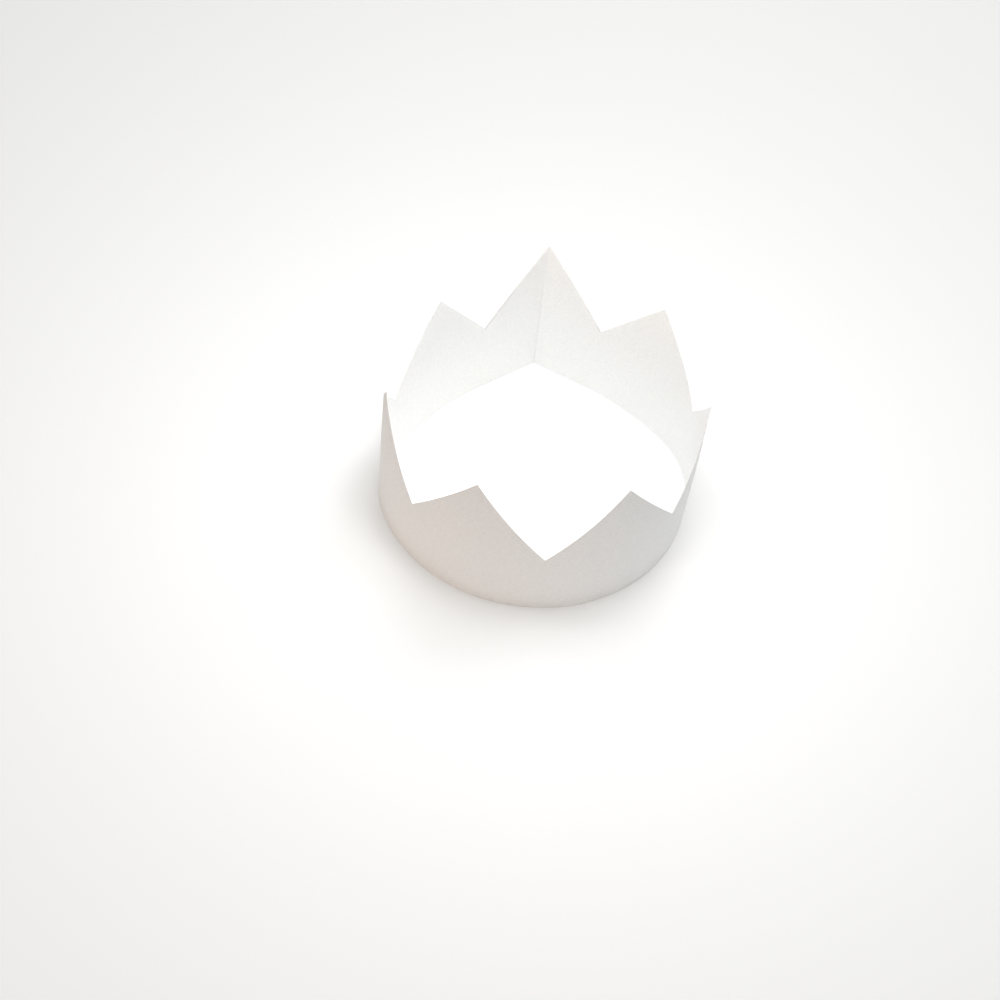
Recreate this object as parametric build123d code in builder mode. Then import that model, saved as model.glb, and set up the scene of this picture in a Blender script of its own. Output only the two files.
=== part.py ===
from build123d import *
from math import radians, sin
import os

# A paper crown: one strip of white card with a zigzag top, bent into a ring that stands on its straight
# edge. Each end of the strip has a slit across half its height. The slits hook into each other at the
# back, and the half teeth past them lie flat against the outside of the ring.
# Millimetres, Z up, origin on the table under the middle of the ring, corner of the ring towards +Y.

# Card
card_thickness = 0.35
lap_clearance = 0.15

# Ring and teeth
head_girth = 574
tooth_count = 7
peak_height = 100
valley_height = 50

# Slits: one runs from the tip down to this height, the other from the base up to it
slit_height = 50
slit_gap = 0.15

# Bends of the ring seen from above, as turns in degrees
front_turn = 160
right_side_turn = 35
left_side_turn = 48
right_shoulder_turn = 24
left_shoulder_turn = 29

# Radii of the bends as shares of the front bend's radius
side_radius_share = 0.6
shoulder_radius_share = 1.7

# How far the uncut strip stands above the tips
cut_overrun = 5

side_turns = right_side_turn + left_side_turn
shoulder_turns = right_shoulder_turn + left_shoulder_turn
corner_turn = 360 - front_turn - side_turns - shoulder_turns
half_tooth = head_girth / tooth_count / 2
stock_height = peak_height + cut_overrun
notch_reach = half_tooth / 2
fold_radius = card_thickness
lap_offset = card_thickness + lap_clearance


def bent_stretch(front_radius):
    """The bends from above, clockwise from the right shoulder to the left one."""
    side_radius = front_radius * side_radius_share
    shoulder_radius = front_radius * shoulder_radius_share
    heading = Vector(1, 0).rotate(Axis.Z, -corner_turn / 2)
    with BuildLine() as stretch:
        right_shoulder = JernArc((0, 0), heading, shoulder_radius, -right_shoulder_turn)
        right_side = JernArc(right_shoulder @ 1, right_shoulder % 1, side_radius, -right_side_turn)
        front = JernArc(right_side @ 1, right_side % 1, front_radius, -front_turn)
        left_side = JernArc(front @ 1, front % 1, side_radius, -left_side_turn)
        JernArc(left_side @ 1, left_side % 1, shoulder_radius, -left_shoulder_turn)
    return stretch.wire()


def ring_line(stretch):
    """The middle of the card once round the ring, clockwise from the corner where the flanks meet."""
    meeting = Axis(stretch @ 0, stretch % 0).intersect(Axis(stretch @ 1, stretch % 1))
    with BuildLine() as loop:
        Line(meeting, stretch @ 0)
        add(stretch)
        Line(stretch @ 1, meeting)
    return loop.wire()


# A ring of unit front radius gives the radius that makes the girth right
unit_girth = ring_line(bent_stretch(1)).length
loose_bends = bent_stretch(head_girth / unit_girth)
bends = loose_bends.moved(Location(-ring_line(loose_bends).bounding_box().center()))
ring = ring_line(bends)

# The two flanks at the corner: the right one leaves it, the left one comes back to it
corner = ring @ 0
right_way = ring % 0
left_way = ring % 1

# Each end runs on past the corner until it clears the other flank, and folds to lie along it
fold_reach = lap_offset / sin(radians(corner_turn))
right_fold = corner - right_way * fold_reach
left_fold = corner + left_way * fold_reach
right_flap_end = left_fold + right_way * half_tooth
left_flap_end = right_fold - left_way * half_tooth
right_slit_edge = corner + right_way * lap_offset
left_slit_edge = corner - left_way * lap_offset

# Runs of card seen from above
right_slit_run = Line(right_slit_edge, bends @ 0)
left_slit_run = Line(bends @ 1, left_slit_edge)
right_fold_run = FilletPolyline(left_flap_end, right_fold, bends @ 0, radius=fold_radius)
left_fold_run = FilletPolyline(bends @ 1, left_fold, right_flap_end, radius=fold_radius)
right_flap_run = Line(left_fold, right_flap_end)
left_flap_run = Line(right_fold, left_flap_end)

# Under the place where the slits meet, the left end passes through the right end's slit
base_runs = (right_slit_run, bends, left_fold_run, left_flap_run)
# Between the two slits both are open
gap_runs = (right_slit_run, bends, left_slit_run, right_flap_run, left_flap_run)
# Above it, the right end passes through the left end's slit
top_runs = (right_fold_run, bends, left_slit_run, right_flap_run)
gap_bottom = slit_height - slit_gap / 2
gap_top = slit_height + slit_gap / 2


def station(step):
    """Plane across the card at a number of half teeth from the corner: x outwards, y up."""
    way_round_share = step / (2 * tooth_count)
    along = ring % way_round_share
    if step in (0, 2 * tooth_count):
        along = (right_way + left_way).normalized()
    return Plane(ring @ way_round_share, x_dir=Vector(0, 0, 1).cross(along), z_dir=along)


with BuildPart() as crown_band:
    for runs, bottom, top in (
        (base_runs, 0, gap_bottom),
        (gap_runs, gap_bottom, gap_top),
        (top_runs, gap_top, stock_height),
    ):
        with BuildSketch(Plane.XY.offset(bottom)):
            trace(runs, line_width=card_thickness)
        extrude(amount=top - bottom)

    # Notches from tip to tip: straight cuts in the flat card, so their height follows the way round
    for tooth in range(tooth_count):
        for step in (2 * tooth, 2 * tooth + 1, 2 * tooth + 2):
            edge_height = valley_height if step % 2 else peak_height
            with BuildSketch(station(step)):
                with Locations((0, edge_height)):
                    Rectangle(2 * notch_reach, stock_height, align=(Align.CENTER, Align.MIN))
        loft(ruled=True, mode=Mode.SUBTRACT)

crown_band.part.label = "crown_band"

os.makedirs("parts", exist_ok=True)
export_step(crown_band.part, "parts/crown_band.step")
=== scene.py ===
import math

import bmesh
import bpy
from mathutils import Matrix, Vector, noise


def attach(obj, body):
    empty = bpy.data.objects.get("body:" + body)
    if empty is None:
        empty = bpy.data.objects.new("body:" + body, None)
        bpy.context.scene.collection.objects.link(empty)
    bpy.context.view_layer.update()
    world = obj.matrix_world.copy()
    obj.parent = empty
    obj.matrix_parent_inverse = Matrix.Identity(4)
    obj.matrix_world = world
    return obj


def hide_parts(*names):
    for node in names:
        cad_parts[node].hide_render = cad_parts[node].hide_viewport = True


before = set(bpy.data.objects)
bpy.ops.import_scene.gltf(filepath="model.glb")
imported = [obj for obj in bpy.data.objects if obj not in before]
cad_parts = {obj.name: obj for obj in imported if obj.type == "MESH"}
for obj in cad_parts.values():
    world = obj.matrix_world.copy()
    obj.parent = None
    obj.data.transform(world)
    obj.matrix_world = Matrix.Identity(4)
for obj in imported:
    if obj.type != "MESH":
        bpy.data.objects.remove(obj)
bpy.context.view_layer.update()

mm = 0.001  # every size below is in millimetres unless it says otherwise
scene = bpy.context.scene
scene.view_settings.view_transform = "Standard"  # whites stay white, as on the photo's bright table


def hexToLinear(hexColour):
    channels = [int(hexColour[i:i + 2], 16) / 255 for i in (1, 3, 5)]
    return [c / 12.92 if c <= 0.04045 else ((c + 0.055) / 1.055) ** 2.4 for c in channels] + [1]


def addNode(tree, kind, settings={}, links={}):  # a name that is a socket sets it, any other is a property
    node = tree.nodes.new(kind)
    for name, value in settings.items():
        if isinstance(name, str) and name not in node.inputs:
            setattr(node, name, value)
    for name, value in settings.items():
        if not isinstance(name, str) or name in node.inputs:
            node.inputs[name].default_value = value
    for name, socket in links.items():
        tree.links.new(socket, node.inputs[name])
    return node


def newMaterial(name):
    material = bpy.data.materials.new(name)
    material.use_nodes = True
    material.node_tree.nodes.clear()
    return material, material.node_tree


# Uncoated bleached card, calendered on a paper machine: matt, faintly cloudy when light falls across it,
# with a fine felt of fibres that runs along the strip
cardFinish = {
    "light": "#FAFAF9",
    "dark": "#ECECEB",
    "roughness": 0.88,
    "cloudSize": 5,  # clumps of fibre, the cloudiness of a sheet held to the light
    "fibreSize": 0.75,  # real fibres are 0.03 mm wide, drawn this coarse so that they show
    "fibreStretch": 0.4,  # longer along the strip than across it
    "fibreShare": 0.85,  # of the felt, the rest is clouds
    "feltRange": (0.3, 0.7),  # of the noise, from the dark colour to the light one
    "tooth": 0.03,  # height of the felt
    "lightDepth": 0.05,  # how far light wanders inside, so that the card glows a little from behind
    "lightReach": (1, 0.98, 0.96),  # of red, green and blue, red a little further
    "ior": 1.5,  # cellulose
    "specular": 0.3,
}
cardMaterial, tree = newMaterial("uncoated_white_card")
flatPlace = addNode(tree, "ShaderNodeUVMap", {"uv_map": "flatStrip"})  # metres on the flat strip
along = addNode(tree, "ShaderNodeMapping", {"Scale": (cardFinish["fibreStretch"], 1, 1)},
                {"Vector": flatPlace.outputs["UV"]})
clouds = addNode(tree, "ShaderNodeTexNoise",
                 {"Scale": 1 / (cardFinish["cloudSize"] * mm), "Detail": 3, "Roughness": 0.55},
                 {"Vector": flatPlace.outputs["UV"]})
fibres = addNode(tree, "ShaderNodeTexNoise",
                 {"Scale": 1 / (cardFinish["fibreSize"] * mm), "Detail": 2, "Roughness": 0.6},
                 {"Vector": along.outputs["Vector"]})
felt = addNode(tree, "ShaderNodeMix", {"data_type": "FLOAT", "Factor": cardFinish["fibreShare"]},
               {2: clouds.outputs["Fac"], 3: fibres.outputs["Fac"]})
feltLow, feltHigh = cardFinish["feltRange"]
shade = addNode(tree, "ShaderNodeMapRange", {"From Min": feltLow, "From Max": feltHigh},
                {"Value": felt.outputs[0]})
colour = addNode(tree, "ShaderNodeMix",
                 {"data_type": "RGBA",
                  6: hexToLinear(cardFinish["dark"]), 7: hexToLinear(cardFinish["light"])},
                 {"Factor": shade.outputs["Result"]})
bump = addNode(tree, "ShaderNodeBump", {"Strength": 1, "Distance": cardFinish["tooth"] * mm},
               {"Height": fibres.outputs["Fac"]})
surface = addNode(tree, "ShaderNodeBsdfPrincipled",
                  {"Roughness": cardFinish["roughness"], "IOR": cardFinish["ior"],
                   "Specular IOR Level": cardFinish["specular"],
                   "Subsurface Weight": 1, "Subsurface Radius": cardFinish["lightReach"],
                   "Subsurface Scale": cardFinish["lightDepth"] * mm},
                  {"Base Color": colour.outputs[2], "Normal": bump.outputs["Normal"]})
addNode(tree, "ShaderNodeOutputMaterial", {}, {"Surface": surface.outputs["BSDF"]})

# Where the die went through it the card is open: torn fibre ends, a little lighter and rougher than
# the faces
edgeFinish = {
    "light": "#FDFCFB",
    "dark": "#EDEBE8",
    "roughness": 0.96,
    "ior": 1.5,
    "specular": 0.2,
    "plySize": 0.5,  # clumps along the cut, real ones are about 0.1 mm, drawn coarser so that they show
    "tooth": 0.05,
}
edgeMaterial, tree = newMaterial("die_cut_card_edge")
place = addNode(tree, "ShaderNodeTexCoord")
plies = addNode(tree, "ShaderNodeTexNoise",
                {"Scale": 1 / (edgeFinish["plySize"] * mm), "Detail": 3, "Roughness": 0.6},
                {"Vector": place.outputs["Object"]})
colour = addNode(tree, "ShaderNodeMix",
                 {"data_type": "RGBA",
                  6: hexToLinear(edgeFinish["dark"]), 7: hexToLinear(edgeFinish["light"])},
                 {"Factor": plies.outputs["Fac"]})
bump = addNode(tree, "ShaderNodeBump", {"Strength": 1, "Distance": edgeFinish["tooth"] * mm},
               {"Height": plies.outputs["Fac"]})
surface = addNode(tree, "ShaderNodeBsdfPrincipled",
                  {"Roughness": edgeFinish["roughness"], "IOR": edgeFinish["ior"],
                   "Specular IOR Level": edgeFinish["specular"]},
                  {"Base Color": colour.outputs[2], "Normal": bump.outputs["Normal"]})
addNode(tree, "ShaderNodeOutputMaterial", {}, {"Surface": surface.outputs["BSDF"]})
print("card materials ready")

# The crown: one strip of card with a zigzag top, rolled into a ring that stands on its straight edge
crown = {
    "thickness": 0.35,
    "teeth": 7,
    "halfTooth": 41,  # from a tip to the next valley, along the strip
    "tipHeight": 100,
    "valleyHeight": 50,
    "slitShare": 0.5,  # of the height, cut by the slit at each end
    "slitPlay": 0.25,  # how far each slit runs past that share, so that the ends don't bind
    "slitSide": 0.31,  # from the corner to the slit's side on the ring
    "flapSide": 0.423,  # from the corner to the slit's side on the end flap, where it folds
    "corner": (5.508, 95.535),  # where the ends hook together at the back
    "cornerTurn": 64,  # degrees
    "flapSpring": 0.3,  # degrees that a flap stays open
    "roll": (  # length and turn of each stretch, clockwise from the corner
        (35.678, 0),  # right flank, flat
        (67.376, 24),
        (34.679, 35),
        (264.220, 160),  # front
        (47.560, 48),
        (81.413, 29),
        (43.074, 0),  # left flank, flat
    ),
    "sideLean": (-0.9, -2.4),  # outwards at half height and at the tips, on the left and right
    "endLean": (2.6, 0.9),  # the same at the front and back
    "wave": 0.3,  # how far the card strays from a true curve
    "waveSize": (38, 150),  # along the strip and up it
    "flatEnds": 1.2,  # half teeth at each end that keep clear of the waves
    "columns": 20,  # in a half tooth
    "rows": 20,
    "edgeRound": 0.06,
    "edgeAngle": 50,  # degrees, sharper edges than this are rounded
}


def tipShare(distance):  # 1 at a tip, 0 in a valley
    return 1 - abs((distance / crown["halfTooth"] + 1) % 2 - 1)


def turnUpTo(distance):  # degrees that the ring has turned, this far along the strip from the corner
    turned = 0
    for length, turn in crown["roll"]:
        turned += turn * min(max(distance / length, 0), 1)
        distance -= length
    return turned


girth = 2 * crown["teeth"] * crown["halfTooth"]
blankLength = girth + 2 * crown["halfTooth"]
card = bmesh.new()
lay = (Matrix.Translation((girth / 2, 0, crown["tipHeight"] / 2))
       @ Matrix.Rotation(math.radians(90), 4, "X")
       @ Matrix.Diagonal((blankLength, crown["tipHeight"], 1, 1)))
bmesh.ops.create_grid(card, x_segments=2 * (crown["teeth"] + 1) * crown["columns"],
                      y_segments=crown["rows"], size=0.5, matrix=lay)
for cut in (crown["slitSide"], girth - crown["slitSide"]):
    bmesh.ops.bisect_plane(card, geom=card.verts[:] + card.edges[:] + card.faces[:],
                           plane_co=(cut, 0, 0), plane_no=(1, 0, 0))
bmesh.ops.reverse_faces(card, faces=card.faces[:])  # the outside of the ring

# The zigzag: each column of the grid is drawn down to its own height
for vert in card.verts:
    drop = (crown["tipHeight"] - crown["valleyHeight"]) * (1 - tipShare(vert.co.x))
    vert.co.z *= 1 - drop / crown["tipHeight"]

# Card that was rolled by hand isn't quite even. The ends stay flat where they lie on each other
for vert in card.verts:
    inside = min(vert.co.x, girth - vert.co.x) / crown["halfTooth"] - crown["flatEnds"]
    spot = Vector((vert.co.x / crown["waveSize"][0], 0, vert.co.z / crown["waveSize"][1]))
    vert.co.y += crown["wave"] * noise.noise(spot) * min(max(inside, 0), 1)

# The end flaps start at the far side of their slits
tiny = 0.001  # slack when places are compared
slitTop = crown["slitShare"] * crown["tipHeight"]
bmesh.ops.translate(card, vec=(-crown["flapSide"], 0, 0),
                    verts=[v for v in card.verts if v.co.x < tiny])
bmesh.ops.translate(card, vec=(crown["flapSide"], 0, 0),
                    verts=[v for v in card.verts if v.co.x > girth - tiny])

# One slit is cut from the base up, the other from the tip down
slots = []
for face in card.faces:
    middle = face.calc_center_median()
    fromBase = -crown["flapSide"] < middle.x < crown["slitSide"] and middle.z < slitTop
    fromTip = girth - crown["slitSide"] < middle.x < girth + crown["flapSide"] and middle.z > slitTop
    if fromBase or fromTip:
        slots.append(face)
halfRow = crown["tipHeight"] / crown["rows"] / 2
for vert in {v for f in slots for v in f.verts if abs(v.co.z - slitTop) < halfRow}:
    vert.co.z += crown["slitPlay"] if vert.co.x < girth / 2 else -crown["slitPlay"]
bmesh.ops.delete(card, geom=slots, context="FACES")

# Where every point lies on the flat strip, for the grain
flatStrip = card.loops.layers.uv.new("flatStrip")
stripStart = crown["halfTooth"] + 1  # from the end of the map to the corner, so that no place is below zero
for face in card.faces:
    for loop in face.loops:
        loop[flatStrip].uv = ((loop.vert.co.x + stripStart) * mm, loop.vert.co.z * mm)

# Roll it column by column, from the left end back to the corner, then fold the right end's flap
columns = {}
for vert in card.verts:
    columns.setdefault(round(vert.co.x, 4), []).append(vert)
places = sorted(columns)
foldTurn = crown["cornerTurn"] - crown["flapSpring"]
rolled = []
for i in range(len(places) - 1, 0, -1):
    place = places[i]
    if place < 0:
        break
    turn = foldTurn if abs(place - girth - crown["flapSide"]) < tiny else 0
    if place < girth:
        turn = turnUpTo((place + places[i + 1]) / 2) - turnUpTo((place + places[i - 1]) / 2)
    if turn and rolled:
        bmesh.ops.rotate(card, cent=(place, 0, 0), verts=rolled,
                         matrix=Matrix.Rotation(-math.radians(turn), 3, "Z"))
    rolled += columns[place]
rightEndFlap = [v for place in places if place < -crown["flapSide"] - tiny for v in columns[place]]
bmesh.ops.rotate(card, cent=(-crown["flapSide"], 0, 0), verts=rightEndFlap,
                 matrix=Matrix.Rotation(math.radians(foldTurn), 3, "Z"))
bmesh.ops.rotate(card, cent=(0, 0, 0), verts=card.verts[:],
                 matrix=Matrix.Rotation(-math.radians(crown["cornerTurn"] / 2), 3, "Z"))
bmesh.ops.translate(card, vec=(*crown["corner"], 0), verts=card.verts[:])

# Hand-rolled card doesn't stand quite upright: it leans along a parabola, from nothing at the base,
# through the lean at half height, to the lean at the tips
for vert in card.verts:
    rise = vert.co.z / crown["tipHeight"]
    outward = vert.co.xy.normalized()
    half, tip = (side * outward.x ** 2 + end * outward.y ** 2
                 for side, end in zip(crown["sideLean"], crown["endLean"]))
    vert.co.xy += outward * ((4 * half - tip) * rise + (2 * tip - 4 * half) * rise ** 2)
bmesh.ops.scale(card, vec=(mm, mm, mm), verts=card.verts[:])
for face in card.faces:
    face.smooth = True

crownMesh = bpy.data.meshes.new("paper_crown")
card.to_mesh(crownMesh)
card.free()
paperCrown = bpy.data.objects.new("paper_crown", crownMesh)
scene.collection.objects.link(paperCrown)
crownMesh.materials.append(cardMaterial)
crownMesh.materials.append(edgeMaterial)
thick = paperCrown.modifiers.new("card thickness", "SOLIDIFY")
thick.thickness = crown["thickness"] * mm
thick.offset = 0
thick.use_even_offset = True
thick.material_offset_rim = 1
softEdge = paperCrown.modifiers.new("cut edges", "BEVEL")
softEdge.width = crown["edgeRound"] * mm
softEdge.segments = 2
softEdge.limit_method = "ANGLE"
softEdge.angle_limit = math.radians(crown["edgeAngle"])
evenShade = paperCrown.modifiers.new("even shading", "WEIGHTED_NORMAL")
evenShade.keep_sharp = True
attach(paperCrown, "root")
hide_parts("crown_band")
print("crown rolled,", len(crownMesh.polygons), "faces before thickness")

# Plain matt white table, lit a little from below as a photographer's light table is
table = {"size": 60000, "colour": "#FAFAF9", "roughness": 0.9, "specular": 0.2, "glow": 0.1}
tableMaterial, tree = newMaterial("matt_white_table")
surface = addNode(tree, "ShaderNodeBsdfPrincipled",
                  {"Base Color": hexToLinear(table["colour"]), "Roughness": table["roughness"],
                   "Specular IOR Level": table["specular"], "Emission Color": hexToLinear(table["colour"]),
                   "Emission Strength": table["glow"]})
addNode(tree, "ShaderNodeOutputMaterial", {}, {"Surface": surface.outputs["BSDF"]})
top = bmesh.new()
bmesh.ops.create_grid(top, x_segments=1, y_segments=1, size=table["size"] / 2 * mm)
tableMesh = bpy.data.meshes.new("table")
top.to_mesh(tableMesh)
top.free()
tableMesh.materials.append(tableMaterial)
tableTop = bpy.data.objects.new("table", tableMesh)
scene.collection.objects.link(tableTop)
print("table laid")

# Soft light: a pale room, dimmer on the left, with a bright ceiling and a window behind on the right, two
# small panels above the ring that fill it from inside, and a warm wall low on the left
room = {
    "colour": "#FFFFFF",
    "dim": 0.21,  # strength on the left
    "bright": 0.46,  # and on the right
    "skyline": 0.4,  # and where the room meets the far table, which is about as bright
    "skylineRise": 0.2,  # how far up that fades out, as the sine of an angle
}
world = bpy.data.worlds.new("room")
world.use_nodes = True
tree = world.node_tree
tree.nodes.clear()
way = addNode(tree, "ShaderNodeTexCoord")
sides = addNode(tree, "ShaderNodeSeparateXYZ", {}, {"Vector": way.outputs["Object"]})
level = addNode(tree, "ShaderNodeMapRange",
                {"From Min": -1, "From Max": 1, "To Min": room["dim"], "To Max": room["bright"]},
                {"Value": sides.outputs["X"]})
fade = addNode(tree, "ShaderNodeMapRange",
               {"interpolation_type": "SMOOTHSTEP", "From Min": 0, "From Max": room["skylineRise"],
                "To Min": room["skyline"]},
               {"Value": sides.outputs["Z"], "To Max": level.outputs["Result"]})
sky = addNode(tree, "ShaderNodeBackground", {"Color": hexToLinear(room["colour"])},
              {"Strength": fade.outputs["Result"]})
addNode(tree, "ShaderNodeOutputWorld", {}, {"Surface": sky.outputs["Background"]})
scene.world = world
lights = (  # place and size in mm, watts, spread of the light in degrees, colour
    {"name": "over_ring", "place": (-22, -30, 220), "size": (120, 120), "watts": 0.11,
     "spread": 180, "colour": "#FFFFFF"},
    {"name": "above", "place": (0, -60, 600), "size": (200, 200), "watts": 0.9,
     "spread": 180, "colour": "#FFFFFF"},
    {"name": "ceiling", "place": (0, 100, 1600), "size": (1600, 1600), "watts": 6,
     "spread": 180, "colour": "#FFFFFF"},
    {"name": "window", "place": (400, 850, 1250), "size": (1400, 1000), "watts": 6.4,
     "spread": 180, "colour": "#FFFFFF"},
    {"name": "warm_wall", "place": (-850, -880, 120), "size": (600, 200), "watts": 0.21,
     "spread": 60, "colour": "#FFC48A"},
)
for panel in lights:
    lamp = bpy.data.lights.new(panel["name"], "AREA")
    lamp.shape = "RECTANGLE"
    lamp.size, lamp.size_y = (side * mm for side in panel["size"])
    lamp.energy = panel["watts"]
    lamp.spread = math.radians(panel["spread"])
    lamp.color = hexToLinear(panel["colour"])[:3]
    holder = bpy.data.objects.new(panel["name"], lamp)
    scene.collection.objects.link(holder)
    holder.location = Vector(panel["place"]) * mm
    holder.rotation_euler = (-holder.location).to_track_quat("-Z", "Y").to_euler()
print("lights set")

# Camera where the photograph was taken from
view = {
    "place": (-93.5, -535.6, 666.7),
    "aim": (-20.9, -18.4, 0),
    "roll": 7.31,  # degrees
    "lens": 50.59,
    "sensor": 36,
}
lens = bpy.data.cameras.new("camera")
lens.lens = view["lens"]
lens.sensor_width = view["sensor"]
lens.clip_start, lens.clip_end = 0.01, 100  # metres
camera = bpy.data.objects.new("camera", lens)
scene.collection.objects.link(camera)
camera.location = Vector(view["place"]) * mm
gaze = (Vector(view["aim"]) - Vector(view["place"])).to_track_quat("-Z", "Y").to_matrix()
camera.rotation_euler = (gaze @ Matrix.Rotation(math.radians(view["roll"]), 3, "Z")).to_euler()
scene.camera = camera
print("camera set")
